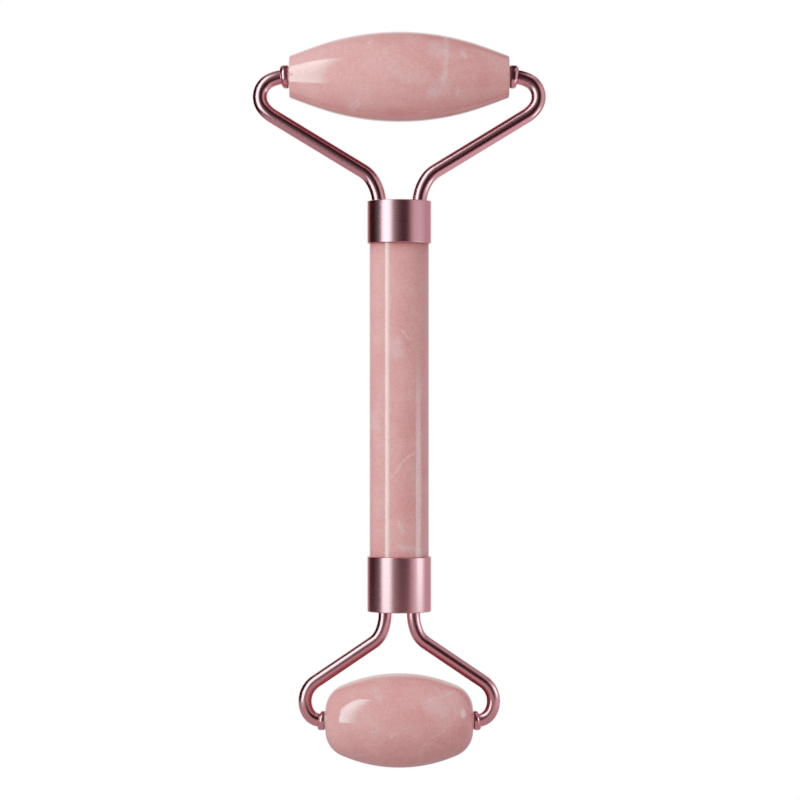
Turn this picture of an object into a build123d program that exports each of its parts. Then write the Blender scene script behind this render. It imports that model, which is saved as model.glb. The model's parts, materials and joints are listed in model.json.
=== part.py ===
"""Double-ended facial massage roller: a round stone handle with a metal frame and a stone roller at each end.

Millimetres. The handle stands upright along Z, with the origin at its middle, on its axis. The long roller
is at the top, both rollers turn about axes parallel to X, and left means -X. Both ends are drawn standing
up, and the short end is then mirrored in the XY plane.
"""

from build123d import *
from dataclasses import dataclass
from math import asin, degrees, radians, sin
import os

# Handle: one stone rod, whose ends are glued into the caps' cups.
HANDLE_DIAMETER = 11.7
GRIP_LENGTH = 61.5
CUP_DEPTH = 3.0
HANDLE_CHAMFER = 0.3
STUD_BORE_DIAMETER = 5.0
STUD_BORE_DEPTH = 13.0

# End caps, turned from solid.
CAP_DIAMETER = 12.6
CAP_EDGE_RADIUS = 0.18
GLUE_GAP = 0.02
LEG_SOCKET_DEPTH = 4.0
BRAZE_GAP = 0.04

# Studs, screwed into the caps and set in epoxy in the handle.
STUD_DIAMETER = 4.0
STUD_CHAMFER = 0.4
STUD_IN_STONE = 12.0
STUD_SOCKET_DEPTH = 3.5
STUD_END_GAP = 0.1

# Fits at the rollers.
RUNNING_GAP = 0.05
THRUST_GAP = 0.05
COLLAR_BRAZE_GAP = 0.02
COLLAR_OUTER_ROUND = 0.9  # radius of its edge, as a share of the ring's wall
COLLAR_INNER_ROUND = 0.4  # and beside the roller
JOURNAL_CHAMFER = 0.2
BUSH_CHAMFER = 0.15
STONE_EDGE_RADIUS = 0.2


@dataclass(frozen=True)
class End:
    """One end of the tool, drawn as if it were the upper one."""

    name: str
    axis_height: float  # of the roller, above the middle of the handle
    cap_length: float
    roller_half_length: float
    roller_radius: float
    roller_bore_radius: float
    bush_length: float
    bush_flange_radius: float
    bush_flange: float
    collar_radius: float
    collar_reach: float  # of the collar's outer face from the middle of the tool
    journal_radius: float
    journal_length: float
    wire_radius: float
    bend_start: float  # where the wire leaves the roller's axis, from the middle of the tool
    curl: tuple  # (radius, degrees) of the bends round the outside, towards the handle
    slope: float  # length of the straight run down to the handle
    throat: tuple  # (radius, degrees) of the bends that stand the leg upright


LARGE = End(
    name="large",
    axis_height=63.59,
    cap_length=8.4,
    roller_half_length=21.6,
    roller_radius=8.855,
    roller_bore_radius=2.0,
    bush_length=6.0,
    bush_flange_radius=2.25,
    bush_flange=0.12,
    collar_radius=2.33,
    collar_reach=23.35,
    journal_radius=1.2,
    journal_length=5.4,
    wire_radius=1.43,
    bend_start=22.44,
    curl=((6.62, 27.6), (3.585, 100.9), (6.88, 20.2)),
    slope=20.64,
    throat=((5.6, 25.1), (8.96, 33.6)),
)

SMALL = End(
    name="small",
    axis_height=63.05,
    cap_length=10.85,
    roller_half_length=14.53,
    roller_radius=9.265,
    roller_bore_radius=1.7,
    bush_length=5.0,
    bush_flange_radius=1.85,
    bush_flange=0.1,
    collar_radius=1.93,
    collar_reach=15.85,
    journal_radius=1.0,
    journal_length=4.4,
    wire_radius=1.32,
    bend_start=15.3,
    curl=((3.04, 61.0), (4.64, 85.0)),
    slope=13.58,
    throat=((4.68, 32.2), (9.1, 23.8)),
)

# Long roller: a crown arc that runs into a flatter flank arc.
CROWN_RADIUS_LARGE = 49.22
CROWN_REACH_LARGE = 16.08
FLANK_RADIUS_LARGE = 123.0

# Short roller: a crown arc that runs into a corner arc, which meets a flat end square on.
CROWN_RADIUS_SMALL = 28.21
CORNER_RADIUS_SMALL = 5.21

CAP_START = GRIP_LENGTH / 2
HANDLE_END = CAP_START + CUP_DEPTH


def save(piece, node):
    """Names a finished piece and writes it."""
    piece.part.label = node
    export_step(piece.part, f"parts/{node}.step")


def save_at_end(drawn, end, node):
    """Writes a piece drawn at the upper end, mirrored down if it belongs to the short roller."""
    if end is LARGE:
        save(drawn, node)
        return
    with BuildPart() as flipped:
        mirror(drawn.part, about=Plane.XY)
    save(flipped, node)


def save_pair(drawn, end, piece_name):
    """Writes a piece drawn on the right, and its mirror image on the left."""
    save_at_end(drawn, end, f"{end.name}_{piece_name}_right")
    with BuildPart() as left:
        mirror(drawn.part, about=Plane.YZ)
    save_at_end(left, end, f"{end.name}_{piece_name}_left")


def across(end, reach):
    """The plane square to the roller's axis, facing outwards, at a distance from the middle of the tool."""
    return Plane(origin=(reach, 0, end.axis_height), x_dir=(0, 1, 0), z_dir=(1, 0, 0))


def collar_face(end):
    """Where the collar's flat inner face stands, just clear of the bush's flange."""
    return end.roller_half_length + end.bush_flange + THRUST_GAP


def build_handle():
    with BuildPart() as handle:
        with BuildSketch():
            Circle(HANDLE_DIAMETER / 2)
        extrude(amount=HANDLE_END, both=True)
        chamfer(handle.edges().filter_by(GeomType.CIRCLE), HANDLE_CHAMFER)
        for side in (1, -1):
            with Locations(Plane(origin=(0, 0, side * HANDLE_END), z_dir=(0, 0, side))):
                Hole(STUD_BORE_DIAMETER / 2, depth=STUD_BORE_DEPTH)
    save(handle, "handle_stone")


def build_cap(end):
    """A solid turned cap: a shallow cup over the handle, a stud hole in it, and two sockets for the legs."""
    top = CAP_START + end.cap_length
    leg_reach = leg_position(end)
    with BuildPart() as cap:
        with BuildSketch(Plane.XY.offset(CAP_START)):
            Circle(CAP_DIAMETER / 2)
        extrude(amount=end.cap_length)
        fillet(cap.edges().filter_by(GeomType.CIRCLE), CAP_EDGE_RADIUS)
        with Locations(Plane(origin=(0, 0, CAP_START), z_dir=(0, 0, -1))):
            Hole(HANDLE_DIAMETER / 2 + GLUE_GAP, depth=CUP_DEPTH)
        with Locations(Plane(origin=(0, 0, HANDLE_END), z_dir=(0, 0, -1))):
            Hole(STUD_DIAMETER / 2, depth=STUD_SOCKET_DEPTH)
        with Locations((leg_reach, 0, top), (-leg_reach, 0, top)):
            Hole(end.wire_radius + BRAZE_GAP, depth=LEG_SOCKET_DEPTH)
    save_at_end(cap, end, f"{end.name}_end_cap")


def build_stud(end):
    """A short threaded stud, drawn plain at its thread's outer diameter."""
    top = HANDLE_END + STUD_SOCKET_DEPTH - STUD_END_GAP
    with BuildPart() as stud:
        with BuildSketch(Plane.XY.offset(HANDLE_END - STUD_IN_STONE)):
            Circle(STUD_DIAMETER / 2)
        extrude(amount=top - HANDLE_END + STUD_IN_STONE)
        chamfer(stud.edges().filter_by(GeomType.CIRCLE), STUD_CHAMFER)
    save_at_end(stud, end, f"{end.name}_stud")


def build_epoxy(end):
    """The cured resin between the stud and the handle's bore, with a plug below the stud."""
    with BuildPart() as epoxy:
        with BuildSketch(Plane.XY.offset(HANDLE_END - STUD_BORE_DEPTH)):
            Circle(STUD_BORE_DIAMETER / 2)
        extrude(amount=STUD_BORE_DEPTH)
        with Locations((0, 0, HANDLE_END)):
            Hole(STUD_DIAMETER / 2, depth=STUD_IN_STONE)
    save_at_end(epoxy, end, f"{end.name}_stud_epoxy")


def draw_wire_line(end, leg_foot):
    """The wire's centre line on the right: out along the roller's axis, round, and down to the leg's foot."""
    line = Line((collar_face(end), end.axis_height), (end.bend_start, end.axis_height))
    for radius, angle in end.curl:
        line = JernArc(line @ 1, line % 1, radius, -angle)
    line = Line(line @ 1, line @ 1 + (line % 1) * end.slope)
    for radius, angle in end.throat:
        line = JernArc(line @ 1, line % 1, radius, angle)
    foot = line @ 1
    Line(foot, Vector(foot.X, foot.Y, leg_foot))


def leg_position(end):
    """How far the upright leg stands from the handle's axis."""
    with BuildLine(Plane.XZ) as centre_line:
        draw_wire_line(end, 0)
    return (centre_line.line @ 1).X


def build_arms(end):
    """A bent wire: turned down to a journal inside the roller, and standing in the cap's socket."""
    leg_foot = CAP_START + end.cap_length - LEG_SOCKET_DEPTH
    shoulder = collar_face(end)
    with BuildPart() as arm:
        with BuildLine(Plane.XZ):
            draw_wire_line(end, leg_foot)
        with BuildSketch(across(end, shoulder)):
            Circle(end.wire_radius)
        sweep()
        with BuildSketch(across(end, shoulder - end.journal_length)):
            Circle(end.journal_radius)
        extrude(amount=end.journal_length)
        inner_rim = arm.edges().filter_by(GeomType.CIRCLE).filter_by_position(
            Axis.X, shoulder - end.journal_length, shoulder - end.journal_length
        )
        chamfer(inner_rim, JOURNAL_CHAMFER)
    save_pair(arm, end, "arm")


def build_collars(end):
    """A rounded ring brazed on the wire: its outer face is square to the bending wire."""
    face = collar_face(end)
    wall = end.collar_radius - end.wire_radius
    first_bend = end.curl[0][0]
    tilt = asin((end.collar_reach - end.bend_start) / first_bend)
    bend_angle = 2 * degrees(tilt)
    outer_plane = Plane(origin=(end.collar_reach, 0, end.axis_height), z_dir=(1, 0, -sin(tilt)))
    with BuildPart() as collar:
        with BuildSketch(across(end, face)):
            Circle(end.collar_radius)
        extrude(amount=2 * end.collar_radius)
        split(bisect_by=outer_plane, keep=Keep.BOTTOM)
        fillet(collar.edges().sort_by(Axis.X)[-1], COLLAR_OUTER_ROUND * wall)
        fillet(collar.edges().sort_by(Axis.X)[0], COLLAR_INNER_ROUND * wall)
        with BuildLine(Plane.XZ):
            lead = Line((face, end.axis_height), (end.bend_start, end.axis_height))
            JernArc(lead @ 1, lead % 1, first_bend, -bend_angle)
        with BuildSketch(across(end, face)):
            Circle(end.wire_radius + COLLAR_BRAZE_GAP)
        sweep(mode=Mode.SUBTRACT)
    save_pair(collar, end, "collar")


def build_bushes(end):
    """A nylon sleeve pressed in the roller's bore, with a thin flange that keeps stone and metal apart."""
    with BuildPart() as bush:
        with BuildSketch(across(end, end.roller_half_length - end.bush_length)):
            Circle(end.roller_bore_radius)
        extrude(amount=end.bush_length)
        chamfer(bush.edges().sort_by(Axis.X)[0], BUSH_CHAMFER)
        with BuildSketch(across(end, end.roller_half_length)):
            Circle(end.bush_flange_radius)
        extrude(amount=end.bush_flange)
        with Locations(across(end, end.roller_half_length)):
            Hole(end.journal_radius + RUNNING_GAP)
    save_pair(bush, end, "bush")


def draw_large_outline():
    """Half the long roller's outline, from the middle of its crown to the rim of its end."""
    crown_angle = degrees(asin(CROWN_REACH_LARGE / CROWN_RADIUS_LARGE))
    flank_rise = (LARGE.roller_half_length - CROWN_REACH_LARGE) / FLANK_RADIUS_LARGE
    flank_angle = degrees(asin(sin(radians(crown_angle)) + flank_rise)) - crown_angle
    crown = JernArc((0, LARGE.roller_radius), (1, 0), CROWN_RADIUS_LARGE, -crown_angle)
    return JernArc(crown @ 1, crown % 1, FLANK_RADIUS_LARGE, -flank_angle)


def draw_small_outline():
    """Half the short roller's outline, from the middle of its crown to the flat of its end."""
    centre_shift = SMALL.roller_half_length - CORNER_RADIUS_SMALL
    crown_angle = degrees(asin(centre_shift / (CROWN_RADIUS_SMALL - CORNER_RADIUS_SMALL)))
    crown = JernArc((0, SMALL.roller_radius), (1, 0), CROWN_RADIUS_SMALL, -crown_angle)
    return JernArc(crown @ 1, crown % 1, CORNER_RADIUS_SMALL, crown_angle - 90)


def build_roller(end, draw_outline):
    """A turned and polished stone with a bore from end to end."""
    centre = Plane(origin=(0, 0, end.axis_height), x_dir=(1, 0, 0), z_dir=(0, -1, 0))
    with BuildPart() as roller:
        with BuildSketch(centre):
            with BuildLine():
                rim = draw_outline() @ 1
                Polyline(
                    rim,
                    (end.roller_half_length, end.roller_bore_radius),
                    (0, end.roller_bore_radius),
                    (0, end.roller_radius),
                )
            make_face()
            mirror(about=Plane.YZ)
        revolve(axis=Axis(centre.origin, centre.x_dir))
        if end is LARGE:
            rims = roller.edges().filter_by(GeomType.CIRCLE)
            fillet([rims.sort_by(Axis.X)[0], rims.sort_by(Axis.X)[-1]], STONE_EDGE_RADIUS)
    save_at_end(roller, end, f"{end.name}_roller_stone")


os.makedirs("parts", exist_ok=True)
build_handle()
for tool_end in (LARGE, SMALL):
    build_cap(tool_end)
    build_stud(tool_end)
    build_epoxy(tool_end)
    build_arms(tool_end)
    build_collars(tool_end)
    build_bushes(tool_end)
build_roller(LARGE, draw_large_outline)
build_roller(SMALL, draw_small_outline)
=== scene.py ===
"""Looks for the double-ended stone face roller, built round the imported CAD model.

Lengths are in metres, except in the materials' patterns, which are in mm. The tool stands upright, the long
roller on top, and is seen from -Y, square to the wire frames. Azimuths are seen from the handle: 0 is towards
the camera and 90 is to its right.
"""

import json
import math

import bpy
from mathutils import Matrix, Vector


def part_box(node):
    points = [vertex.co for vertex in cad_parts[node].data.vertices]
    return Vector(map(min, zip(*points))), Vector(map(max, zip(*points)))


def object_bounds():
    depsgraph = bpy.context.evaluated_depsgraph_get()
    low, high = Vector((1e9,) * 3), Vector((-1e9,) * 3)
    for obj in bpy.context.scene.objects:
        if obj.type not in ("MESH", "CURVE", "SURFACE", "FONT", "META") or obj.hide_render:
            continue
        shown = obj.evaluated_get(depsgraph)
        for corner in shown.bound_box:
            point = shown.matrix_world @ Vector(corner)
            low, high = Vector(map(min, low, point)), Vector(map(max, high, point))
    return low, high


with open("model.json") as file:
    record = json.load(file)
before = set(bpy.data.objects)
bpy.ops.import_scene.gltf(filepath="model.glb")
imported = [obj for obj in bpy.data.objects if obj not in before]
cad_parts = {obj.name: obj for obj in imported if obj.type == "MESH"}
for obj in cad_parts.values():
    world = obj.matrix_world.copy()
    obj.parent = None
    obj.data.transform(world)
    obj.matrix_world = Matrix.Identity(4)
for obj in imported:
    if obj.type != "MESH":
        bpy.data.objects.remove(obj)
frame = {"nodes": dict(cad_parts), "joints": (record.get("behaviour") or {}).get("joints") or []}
CAD_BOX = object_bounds()
MM = 0.001
PER_MM = 1000
WHITE = (1.0, 1.0, 1.0)

# Camera: a 135 mm lens on a 36 mm sensor, a hair to the right of the handle's axis.
CAMERA_DISTANCE = 590 * MM
CAMERA_SIDE = 0.15 * MM
CAMERA_CLIP = 10 * MM
SENSOR_WIDTH = 36.0
PICTURE_WIDTH = 157.46 * MM  # of the upright plane through the handle's axis, as the camera sees it

# The film's response, scene light in and picture light out: straight in the middle, with a short toe and a
# soft shoulder, so that strong highlights turn white.
FILM = [(0, 0), (0.012, 0.001), (0.05, 0.04), (0.1, 0.095), (0.2, 0.2), (0.35, 0.35), (0.5, 0.475),
        (0.7, 0.6), (0.9, 0.7), (1.1, 0.79), (1.3, 0.89), (1.5, 1)]
FILM_WHITE = FILM[-1][0]

# The floor.
FLOOR_DROP = 1 * MM
FLOOR_RADIUS = 200 * MM
FLOOR_SIDES = 96
FLOOR_SHEEN = (0.5, 0.38, 0.4)  # its light in the metal's reflections
SHEEN_GAIN = (0.9, 1.45)  # how strong that is, on the left and on the right
SHEEN_RISE = (20 * MM, 80 * MM)  # to the right of the handle, between which that changes

# The surroundings: even light on the stone, and a dim studio in the reflections.
AMBIENT = (0.48, 0.60)  # from straight below and from straight above, on the stone
AMBIENT_RISE = (-0.9, 0.9)  # radians of elevation between which it changes
STUDIO_DARK = (0.03, 0.022, 0.024)
CARDS = [  # azimuth, elevation, half width, half height and softness in degrees, and colour
    (71, 5, 27, 36, 14, (0.64, 0.58, 0.59)),
    (130, 5, 32, 36, 14, (0.50, 0.38, 0.40)),
    (-160, 0, 23, 60, 7, (0.42, 0.27, 0.29)),
    (-112, 0, 18, 60, 8, (-0.022, -0.017, -0.018)),  # a flag, which takes light away
    (-18, 0, 12, 60, 14, (0.14, 0.14, 0.14)),
    (180, 8, 22, 30, 8, (1.0, 1.0, 1.0)),
    (-75, 70, 60, 16, 8, (0.3, 0.3, 0.3)),
    (80, 58, 50, 9, 7, (0.6, 0.6, 0.6)),
]

# Softboxes. Those for the gold stand 1 mm nearer, because two in the same place would hide each other. sides
# are the left and right edges, as seen from behind, from the line that aims at the handle's axis. fades are
# three shares: of the width, over which it brightens from the left and from which it dims towards the right,
# and of the height, from which it dims upwards. lean is the share of the width by which the lower part starts
# further in.
SIDE_BOX = dict(azimuth=80, sides=(-34 * MM, 46 * MM), heights=(-47 * MM, 20 * MM), fades=(0.01, 0.5, 0.45))
SOFTBOXES = {
    "key": dict(azimuth=-47.5, distance=332 * MM, sides=(-90 * MM, 85 * MM), heights=(-74 * MM, 450 * MM),
                fades=(0.16, 0.38, 0.93), lean=0.18, radiance=9.2, color=WHITE, gold=False),
    "key_metal": dict(azimuth=-49.5, distance=331 * MM, sides=(-82 * MM, 150 * MM),
                      heights=(-84 * MM, 640 * MM), fades=(0.01, 0.65, 0.6), radiance=3.4,
                      color=(0.8, 1.0, 1.0), gold=True),
    "side": dict(SIDE_BOX, distance=140 * MM, radiance=3.2, color=(1.0, 0.9, 0.9), gold=False),
    "side_metal": dict(SIDE_BOX, distance=139 * MM, radiance=2.8, color=(0.8, 1.0, 1.0), gold=True),
}
LEAN_RISE = (0.25, 0.7)  # shares of the height between which the lean ends

# Noises: cycles per mm, octaves, roughness and distortion.
THREADS = (0.11, 5.0, 0.6, 1.5)
WISP_SWAY = (1.0, 4.0)
METAL_LINES = (1.0, 3.0, 0.6)
NOISE_MIDDLE = 0.5  # of the values that a noise gives
THREAD_REACH = 0.02  # how far from it a thread reaches

# Mottles: a noise as above, then where it fades from and to, and the values there if they aren't 0 and 1.
CLOUDS = ((0.16, 3.0, 0.55, 0.6), (0.3, 0.7))
THREAD_PATCHES = ((0.13,), (0.52, 0.7, 0.0, 0.35))
WISP_PATCHES = ((1.1, 4.0), (0.25, 0.6, 0.3, 1.0))
STONE_GRAIN = ((2.6, 3.0, 0.6), (0.25, 0.75, 0.9, 1.1))
STONE_ROUGHNESS = ((0.4,), (0.3, 0.7, 0.07, 0.12))
METAL_GRAIN = ((2.5, 3.0, 0.6), (0.25, 0.75, 0.96, 1.02))

# Stone.
STONE_DEEP = (0.78, 0.335, 0.325)
STONE_PALE = (0.82, 0.39, 0.38)
WISP_COLOR = (0.84, 0.62, 0.66)
# painted shade: the colour the handle takes right beside a cap
STONE_PAINTED_SHADE = (0.40, 0.13, 0.125)
SHADE_BY_CAP = {"large_end_cap": 0.8, "small_end_cap": 0.35}  # how strongly the painted shade darkens the handle beside each cap
SHADE_REACH = 1.05  # mm, over which that fades by two thirds
STONE_IOR = 1.6
STONE_SPECULAR = (0.75, 1, 1)
STONE_GLOSS = 0.5
MIRRORED_STONE = (0.41, 0.33, 0.35)  # painted shade: what is left of the stone's colour where the gold reflects it, darker and redder, where it has no gloss

# Metals: colour, roughness, how far that varies, and how closely the lines repeat along X, Y and Z.
SATIN = ((0.90, 0.485, 0.525), 0.28, 0.01, (0.4, 0.4, 7))
POLISHED = ((0.90, 0.48, 0.52), 0.22, 0.008, (2, 2, 2))
LINES_ROUGH = (0.25, 0.75)  # the part of the lines' range over which the roughness changes
LINES_WORN = (0.3, 0.7, 0.0, 0.4)  # the part over which the wear comes in, and how much of it
WORN = 0.9  # of the metal's colour

# Small and hidden pieces: light and dark colour, roughness, specks per mm, and how metallic.
NYLON = ((0.84, 0.76, 0.73), (0.78, 0.69, 0.66), 0.45, 1.2, 0.0)
STEEL = ((0.60, 0.60, 0.61), (0.48, 0.48, 0.49), 0.32, 2.0, 1.0)
EPOXY = ((0.76, 0.64, 0.46), (0.68, 0.55, 0.37), 0.12, 0.8, 0.0)
SPECK_OCTAVES = 4.0
SPECK_FADE = (0.3, 0.7)
SPECK_DULL = 0.08  # how much rougher the dark specks are

# Wisps.
STROKE_EDGE = (1.3, 0.2)  # widths from a stroke's middle at which it ends, and at which it is full
WISP_REACH = 0.7  # mm, how far a wisp sways
WISP_DEPTH = (1.0, -1.0)  # mm along Y, between which the wisps come in
ARC_STEPS = 5


def arc(centre, radius, start, end):
    """Points along a circle, between two angles in degrees."""
    turns = [math.radians(start + (end - start) * step / ARC_STEPS) for step in range(ARC_STEPS + 1)]
    return [(centre[0] + radius * math.cos(turn), centre[1] + radius * math.sin(turn)) for turn in turns]


# The wisps in each stone: strength, width in mm, and points (right, up) in mm from its centre.
HANDLE_WISPS = [
    (0.45, 0.22, [(-1.7, -15.2), (-0.1, -13.3), (0.6, -12.0), (1.4, -11.6), (3.0, -10.2)]),
    (0.4, 0.3, [(0.4, 13.6), (2.4, 11.7)]),
    (0.3, 1.6, [(-0.6, 10.8), (-0.1, 9.3)]),
    (0.35, 0.5, [(-0.1, -24.0), (0.7, -25.7)]),
    (0.4, 0.8, [(0.2, -28.7), (4.3, -29.6)]),
    (0.25, 1.3, [(-5.0, -3.0), (-4.8, -5.4)]),
]
LARGE_WISPS = [
    (0.5, 0.6, [(9.2, 7.6), (9.1, 0.2), (8.3, -2.2)]),
    (0.3, 1.7, [(8.2, -2.2), (6.6, -4.0)]),
    (0.16, 1.3, [(-2.4, 3.5), (-0.4, -0.2), (2.3, -1.2), (5.3, -1.2)]),
    (0.25, 1.8, [(6.9, 5.2), (7.5, 4.2)]),
    (0.4, 0.4, [(12.2, 4.6), (12.4, 3.3), (13.1, 3.2), (12.2, 4.6)]),
    (0.4, 0.3, [(-6.0, 5.9), (-5.2, 6.6)]),
    (0.45, 0.25, [(-9.8, -6.4), (-8.1, -5.1)]),
    (0.4, 0.25, [(-9.1, -6.9), (-7.4, -5.6)]),
    (0.35, 0.3, [(11.2, -4.3), (11.6, -3.0)]),
]
SMALL_WISPS = [
    (0.28, 2.0, [(6.2, 3.8), (8.2, 2.2)]),
    (0.3, 0.3, [(7.6, 5.0), (9.0, 5.4), (10.9, 6.3)]),
    (0.2, 0.3, [(7.0, 6.9), (8.2, 5.4)]),
    (0.2, 0.22, [(9.6, 4.3), (10.8, 3.6), (11.1, 2.2), (10.6, 0.8)]),
    (0.32, 0.17, arc((7.4, -4.7), 1.7, 90, 220)),
    (0.14, 0.17, arc((7.4, -4.7), 2.3, -50, 60)),
    (0.3, 0.3, [(7.3, -4.4), (7.7, -4.3)]),
    (0.25, 0.4, [(-9.5, -6.4), (-7.3, -6.2)]),
]


def new_material(name):
    """A material with only its output and a Principled shader, and its node tree."""
    material = bpy.data.materials.new(name)
    material.use_nodes = True
    return material, material.node_tree


def fill(tree, node, *values):
    """Fills a node's inputs in order; each value is a socket to link, a plain value, or None to leave it."""
    for socket, value in zip(node.inputs, values):
        if isinstance(value, bpy.types.NodeSocket):
            tree.links.new(value, socket)
        elif value is not None:
            socket.default_value = value
    return node


def calculate(tree, operation, *values):
    """A math node's output."""
    node = tree.nodes.new("ShaderNodeMath")
    node.operation = operation
    return fill(tree, node, *values).outputs[0]


def calculate_vector(tree, operation, first, second=None):
    """A vector math node's outputs; the second value is a number only for SCALE."""
    node = tree.nodes.new("ShaderNodeVectorMath")
    node.operation = operation
    if operation == "SCALE":
        fill(tree, node, first, None, None, second)
    else:
        fill(tree, node, first, second)
    return node.outputs


def split(tree, vector):
    """The X, Y and Z of a vector."""
    return fill(tree, tree.nodes.new("ShaderNodeSeparateXYZ"), vector).outputs


def light_path(tree):
    """What kind of ray is looking."""
    return tree.nodes.new("ShaderNodeLightPath").outputs


def fade(tree, value, start, end, low=0.0, high=1.0):
    """A soft step from low, where the value is start, to high, where it is end."""
    step = tree.nodes.new("ShaderNodeMapRange")
    step.interpolation_type = "SMOOTHSTEP"
    return fill(tree, step, value, start, end, low, high).outputs["Result"]


def noise(tree, point, scale, detail=2.0, roughness=0.5, distortion=0.0):
    """A noise texture's outputs, in cycles per unit of the point."""
    node = tree.nodes.new("ShaderNodeTexNoise")
    tree.links.new(point, node.inputs["Vector"])
    node.inputs["Scale"].default_value = scale
    node.inputs["Detail"].default_value = detail
    node.inputs["Roughness"].default_value = roughness
    node.inputs["Distortion"].default_value = distortion
    return node.outputs


def mottle(tree, point, pattern):
    """A noise, faded between two values."""
    settings, limits = pattern
    return fade(tree, noise(tree, point, *settings)["Fac"], *limits)


def blend_colors(tree, share, first, second):
    """The colour that lies the given share of the way from the first colour to the second."""
    node = tree.nodes.new("ShaderNodeMix")
    node.data_type = "RGBA"
    sockets = {socket.identifier: socket for socket in node.inputs}
    for name, value in (("Factor_Float", share), ("A_Color", first), ("B_Color", second)):
        if isinstance(value, bpy.types.NodeSocket):
            tree.links.new(value, sockets[name])
        else:
            sockets[name].default_value = (*value, 1)
    return next(socket for socket in node.outputs if socket.identifier == "Result_Color")


def millimetres(tree):
    """The point being shaded, in the piece's own frame, in mm."""
    coordinates = tree.nodes.new("ShaderNodeTexCoord")
    return calculate_vector(tree, "SCALE", coordinates.outputs["Object"], PER_MM)[0]


def make_stroke_group():
    """A node group: how strongly a soft straight stroke covers a point."""
    tree = bpy.data.node_groups.new("stroke", "ShaderNodeTree")
    for name in ("Point", "Start", "Run"):
        tree.interface.new_socket(name, in_out="INPUT", socket_type="NodeSocketVector")
    tree.interface.new_socket("Width", in_out="INPUT", socket_type="NodeSocketFloat")
    tree.interface.new_socket("Cover", in_out="OUTPUT", socket_type="NodeSocketFloat")
    given = tree.nodes.new("NodeGroupInput").outputs
    offset = calculate_vector(tree, "SUBTRACT", given["Point"], given["Start"])[0]
    along = calculate_vector(tree, "DOT_PRODUCT", offset, given["Run"])["Value"]
    length = calculate_vector(tree, "DOT_PRODUCT", given["Run"], given["Run"])["Value"]
    share = calculate(tree, "DIVIDE", along, length)
    held = calculate(tree, "MINIMUM", calculate(tree, "MAXIMUM", share, 0.0), 1.0)
    nearest = calculate_vector(tree, "SCALE", given["Run"], held)[0]
    gap = calculate_vector(tree, "DISTANCE", offset, nearest)["Value"]
    cover = fade(tree, calculate(tree, "DIVIDE", gap, given["Width"]), *STROKE_EDGE)
    tree.links.new(cover, tree.nodes.new("NodeGroupOutput").inputs["Cover"])
    return tree


def draw_wisps(tree, point, wisps, centre):
    """How strongly a stone's wisps cover a point of its near side; centre is its middle's height, in mm."""
    sway = noise(tree, point, *WISP_SWAY)["Color"]
    swing = calculate_vector(tree, "SUBTRACT", sway, (NOISE_MIDDLE, NOISE_MIDDLE, NOISE_MIDDLE))[0]
    shift = calculate_vector(tree, "SCALE", swing, WISP_REACH)[0]
    bent = calculate_vector(tree, "ADD", point, shift)[0]
    flat = calculate_vector(tree, "MULTIPLY", bent, (1, 0, 1))[0]
    total = 0.0
    for strength, width, points in wisps:
        for start, end in zip(points, points[1:]):
            stroke = tree.nodes.new("ShaderNodeGroup")
            stroke.node_tree = STROKE
            run = (end[0] - start[0], 0, end[1] - start[1])
            fill(tree, stroke, flat, (start[0], 0, start[1] + centre), run, width)
            cover = calculate(tree, "MULTIPLY", stroke.outputs[0], strength)
            total = calculate(tree, "MAXIMUM", total, cover)
    patchy = calculate(tree, "MULTIPLY", total, mottle(tree, point, WISP_PATCHES))
    near = fade(tree, split(tree, point)["Y"], *WISP_DEPTH)
    return calculate(tree, "MULTIPLY", patchy, near)


def stone_color(tree, point, wisps, centre):
    """The stone's colour: pale clouds, faint threads right through it, and a few wisps."""
    color = blend_colors(tree, mottle(tree, point, CLOUDS), STONE_DEEP, STONE_PALE)
    ridge = calculate(tree, "SUBTRACT", noise(tree, point, *THREADS)["Fac"], NOISE_MIDDLE)
    thread = fade(tree, calculate(tree, "ABSOLUTE", ridge), THREAD_REACH, 0.0)
    faint = calculate(tree, "MULTIPLY", thread, mottle(tree, point, THREAD_PATCHES))
    color = blend_colors(tree, faint, color, WISP_COLOR)
    return blend_colors(tree, draw_wisps(tree, point, wisps, centre), color, WISP_COLOR)


def paint_shade_beside_caps(tree, point, color):
    """The handle's colour with painted shade beside the metal caps, standing in for the shadow under their
    rims.
    """
    height = split(tree, point)["Z"]
    for node, strength in SHADE_BY_CAP.items():
        low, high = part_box(node)
        side = 1 if low.z > 0 else -1
        edge = min(side * low.z, side * high.z) * PER_MM
        depth = calculate(tree, "SUBTRACT", calculate(tree, "MULTIPLY", height, side), edge)
        share = calculate(tree, "EXPONENT", calculate(tree, "DIVIDE", depth, SHADE_REACH))
        color = blend_colors(tree, calculate(tree, "MULTIPLY", share, strength), color, STONE_PAINTED_SHADE)
    return color


def make_stone(name, wisps, centre, capped=False):
    """Polished pink stone with a fine grain, with painted shade in reflections and, if capped, painted shade
    beside the caps.
    """
    material, tree = new_material(name)
    shader = tree.nodes["Principled BSDF"].inputs
    point = millimetres(tree)
    color = stone_color(tree, point, wisps, centre)
    # painted shade beside the caps
    if capped:
        color = paint_shade_beside_caps(tree, point, color)
    # painted shade in reflections: the stone is drawn darker and redder where the gold mirrors it
    mirrored = light_path(tree)["Is Glossy Ray"]
    reflection_shaded = calculate_vector(tree, "MULTIPLY", color, blend_colors(tree, mirrored, WHITE, MIRRORED_STONE))[0]
    grainy = calculate_vector(tree, "SCALE", reflection_shaded, mottle(tree, point, STONE_GRAIN))[0]
    tree.links.new(grainy, shader["Base Color"])
    tree.links.new(fade(tree, mirrored, 0.0, 1.0, STONE_GLOSS, 0.0), shader["Specular IOR Level"])
    tree.links.new(mottle(tree, point, STONE_ROUGHNESS), shader["Roughness"])
    shader["IOR"].default_value = STONE_IOR
    shader["Specular Tint"].default_value = (*STONE_SPECULAR, 1)
    return material


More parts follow.
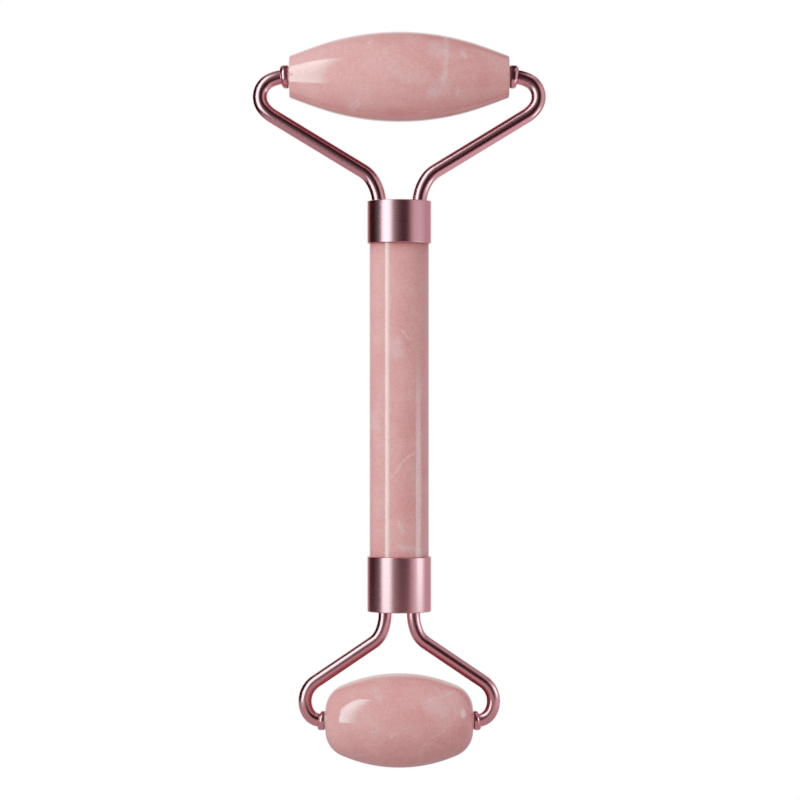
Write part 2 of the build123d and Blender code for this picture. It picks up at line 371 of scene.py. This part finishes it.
def make_metal(name, color, roughness, spread, stretch):
    """Rose gold with fine lines, slightly worn, and a fine grain."""
    material, tree = new_material(name)
    shader = tree.nodes["Principled BSDF"].inputs
    shader["Metallic"].default_value = 1.0
    point = millimetres(tree)
    lines = noise(tree, calculate_vector(tree, "MULTIPLY", point, stretch)[0], *METAL_LINES)["Fac"]
    uneven = fade(tree, lines, *LINES_ROUGH, roughness - spread, roughness + spread)
    tree.links.new(uneven, shader["Roughness"])
    grainy = calculate_vector(tree, "SCALE", color, mottle(tree, point, METAL_GRAIN))[0]
    worn = tuple(WORN * part for part in color)
    tree.links.new(blend_colors(tree, fade(tree, lines, *LINES_WORN), grainy, worn), shader["Base Color"])
    return material


def make_plain(name, light, dark, roughness, scale, metallic):
    """A mottled finish between two colours."""
    material, tree = new_material(name)
    shader = tree.nodes["Principled BSDF"].inputs
    shader["Metallic"].default_value = metallic
    speckle = noise(tree, millimetres(tree), scale, SPECK_OCTAVES)["Fac"]
    tree.links.new(blend_colors(tree, fade(tree, speckle, *SPECK_FADE), dark, light), shader["Base Color"])
    tree.links.new(fade(tree, speckle, *SPECK_FADE, roughness + SPECK_DULL, roughness), shader["Roughness"])
    return material


def dress(material, *nodes):
    """Gives CAD nodes a material."""
    for node in nodes:
        mesh = frame["nodes"][node].data
        mesh.materials.clear()
        mesh.materials.append(material)


def dress_everything():
    """Gives every CAD node its material."""
    centres = {joint["child"]: joint["pos_m"][2] * PER_MM for joint in frame["joints"]}
    dress(make_stone("pink_stone_handle", HANDLE_WISPS, 0, capped=True), "handle_stone")
    dress(make_stone("pink_stone_large", LARGE_WISPS, centres["large_roller"]), "large_roller_stone")
    dress(make_stone("pink_stone_small", SMALL_WISPS, centres["small_roller"]), "small_roller_stone")
    satin = make_metal("satin_rose_gold", *SATIN)
    polished = make_metal("polished_rose_gold", *POLISHED)
    nylon = make_plain("nylon", *NYLON)
    steel = make_plain("steel", *STEEL)
    epoxy = make_plain("epoxy", *EPOXY)
    for end in ("large", "small"):
        dress(satin, f"{end}_end_cap")
        dress(steel, f"{end}_stud")
        dress(epoxy, f"{end}_stud_epoxy")
        for side in ("left", "right"):
            dress(polished, f"{end}_arm_{side}", f"{end}_collar_{side}")
            dress(nylon, f"{end}_bush_{side}")


def collect(name, gold):
    """A collection of the rose gold pieces, or of all the others."""
    group = bpy.data.collections.new(name)
    for piece in frame["nodes"].values():
        if ("gold" in piece.data.materials[0].name) == gold:
            group.objects.link(piece)
    return group


def fade_edges(lamp, fades, lean):
    """Dims a lamp softly towards three of its edges."""
    lamp.use_nodes = True
    tree = lamp.node_tree
    spot = split(tree, tree.nodes.new("ShaderNodeNewGeometry").outputs["Parametric"])
    across, up = spot["X"], spot["Y"]
    from_left, to_right, to_top = fades
    inset = calculate(tree, "SUBTRACT", across, fade(tree, up, *LEAN_RISE, lean, 0))
    left = fade(tree, inset, 0, from_left)
    right = fade(tree, across, to_right, 1, 1, 0)
    top = fade(tree, up, to_top, 1, 1, 0)
    strength = calculate(tree, "MULTIPLY", calculate(tree, "MULTIPLY", left, right), top)
    tree.links.new(strength, tree.nodes["Emission"].inputs["Strength"])


def hang_softbox(name, receivers, azimuth, distance, sides, heights, fades, radiance, color, lean=0.0):
    """An upright area light that faces the handle's axis and lights only the receivers."""
    lamp = bpy.data.lights.new(name, "AREA")
    lamp.shape = "RECTANGLE"
    lamp.size = sides[1] - sides[0]
    lamp.size_y = heights[1] - heights[0]
    lamp.energy = radiance * math.pi * (sides[1] - sides[0]) * (heights[1] - heights[0])
    lamp.color = color
    fade_edges(lamp, fades, lean)
    angle = math.radians(azimuth)
    aim = Vector((math.sin(angle), -math.cos(angle), 0))
    right = Vector((math.cos(angle), math.sin(angle), 0))
    rig = bpy.data.objects.new(name, lamp)
    rig.location = aim * distance + right * sum(sides) / 2 + Vector((0, 0, sum(heights) / 2))
    rig.rotation_euler = (math.pi / 2, 0, angle)
    rig.visible_camera = False
    rig.light_linking.receiver_collection = receivers
    bpy.context.scene.collection.objects.link(rig)


def hang_softboxes():
    """Lights the stones and the gold separately."""
    receivers = {False: collect("stones", False), True: collect("metals", True)}
    for name, settings in SOFTBOXES.items():
        settings = dict(settings)
        hang_softbox(name, receivers[settings.pop("gold")], **settings)


def add_card(tree, sky, heading, rise, card):
    """Adds a soft-edged patch, given in degrees, to the colour of the sky."""
    azimuth, elevation, half_width, half_height, soft, color = card
    angle = math.radians(azimuth)
    aim = (math.sin(angle), -math.cos(angle), 0)
    turn = calculate(tree, "ARCCOSINE", calculate_vector(tree, "DOT_PRODUCT", heading, aim)["Value"])
    across = fade(tree, turn, math.radians(half_width + soft), math.radians(half_width - soft))
    off = calculate(tree, "ABSOLUTE", calculate(tree, "SUBTRACT", rise, math.radians(elevation)))
    along = fade(tree, off, math.radians(half_height + soft), math.radians(half_height - soft))
    patch = calculate_vector(tree, "SCALE", color, calculate(tree, "MULTIPLY", across, along))[0]
    return calculate_vector(tree, "ADD", patch, sky)[0]


def make_world():
    """White to the camera, pale to the stone, and a dim studio in the reflections."""
    world = bpy.data.worlds.new("studio")
    world.use_nodes = True
    bpy.context.scene.world = world
    tree = world.node_tree
    tree.nodes.clear()
    direction = tree.nodes.new("ShaderNodeTexCoord").outputs["Generated"]
    level = calculate_vector(tree, "MULTIPLY", direction, (1, 1, 0))[0]
    heading = calculate_vector(tree, "NORMALIZE", level)[0]
    rise = calculate(tree, "ARCSINE", split(tree, direction)["Z"])
    sky = STUDIO_DARK
    for card in CARDS:
        sky = add_card(tree, sky, heading, rise, card)

    path = light_path(tree)
    reflection_shaded, soft, mirror = (tree.nodes.new("ShaderNodeBackground") for _ in range(3))
    fill(tree, reflection_shaded, (*WHITE, 1), FILM_WHITE)
    fill(tree, soft, (*WHITE, 1), fade(tree, rise, *AMBIENT_RISE, *AMBIENT))
    fill(tree, mirror, sky, 1.0)
    glossy, camera = (tree.nodes.new("ShaderNodeMixShader") for _ in range(2))
    fill(tree, glossy, path["Is Glossy Ray"], soft.outputs[0], mirror.outputs[0])
    fill(tree, camera, path["Is Camera Ray"], glossy.outputs[0], reflection_shaded.outputs[0])
    tree.links.new(camera.outputs[0], tree.nodes.new("ShaderNodeOutputWorld").inputs["Surface"])


def make_floor_material():
    """White to the camera, a faint sheen in reflections, and clear from underneath."""
    material, tree = new_material("pale_floor")
    tree.nodes.remove(tree.nodes["Principled BSDF"])
    here = tree.nodes.new("ShaderNodeNewGeometry").outputs
    sheen, pale = (tree.nodes.new("ShaderNodeEmission") for _ in range(2))
    gain = fade(tree, split(tree, here["Position"])["X"], *SHEEN_RISE, *SHEEN_GAIN)
    fill(tree, sheen, (*FLOOR_SHEEN, 1), gain)
    fill(tree, pale, (*WHITE, 1), FILM_WHITE)
    clear = tree.nodes.new("ShaderNodeBsdfTransparent")
    top, mix = (tree.nodes.new("ShaderNodeMixShader") for _ in range(2))
    fill(tree, top, light_path(tree)["Is Camera Ray"], sheen.outputs[0], pale.outputs[0])
    fill(tree, mix, here["Backfacing"], top.outputs[0], clear.outputs[0])
    tree.links.new(mix.outputs[0], tree.nodes["Material Output"].inputs["Surface"])
    return material


def make_floor():
    """A round pale floor just under the short roller."""
    level = CAD_BOX[0].z - FLOOR_DROP
    turns = [math.tau * side / FLOOR_SIDES for side in range(FLOOR_SIDES)]
    rim = [(FLOOR_RADIUS * math.cos(turn), FLOOR_RADIUS * math.sin(turn), level) for turn in turns]
    mesh = bpy.data.meshes.new("floor")
    mesh.from_pydata(rim, [], [range(FLOOR_SIDES)])
    mesh.materials.append(make_floor_material())
    floor = bpy.data.objects.new("floor", mesh)
    bpy.context.scene.collection.objects.link(floor)
    floor.visible_diffuse = False
    floor.visible_shadow = False


def make_camera():
    """The camera, level with the middle of the handle."""
    data = bpy.data.cameras.new("camera")
    data.sensor_width = SENSOR_WIDTH
    data.lens = SENSOR_WIDTH * CAMERA_DISTANCE / PICTURE_WIDTH
    data.clip_start = CAMERA_CLIP
    camera = bpy.data.objects.new("camera", data)
    camera.location = (CAMERA_SIDE, -CAMERA_DISTANCE, 0)
    camera.rotation_euler = (math.pi / 2, 0, 0)
    bpy.context.scene.collection.objects.link(camera)
    bpy.context.scene.camera = camera


def load_film():
    """Sets the camera's tone curve."""
    view = bpy.context.scene.view_settings
    view.view_transform = "Standard"
    view.use_curve_mapping = True
    mapping = view.curve_mapping
    mapping.clip_max_x = FILM_WHITE
    response = mapping.curves[3]  # of all three colours together
    response.points[0].location = FILM[0]
    response.points[1].location = FILM[-1]
    for light, shown in FILM[1:-1]:
        response.points.new(light, shown)
    mapping.update()


STROKE = make_stroke_group()
dress_everything()
hang_softboxes()
make_world()
make_floor()
make_camera()
load_film()
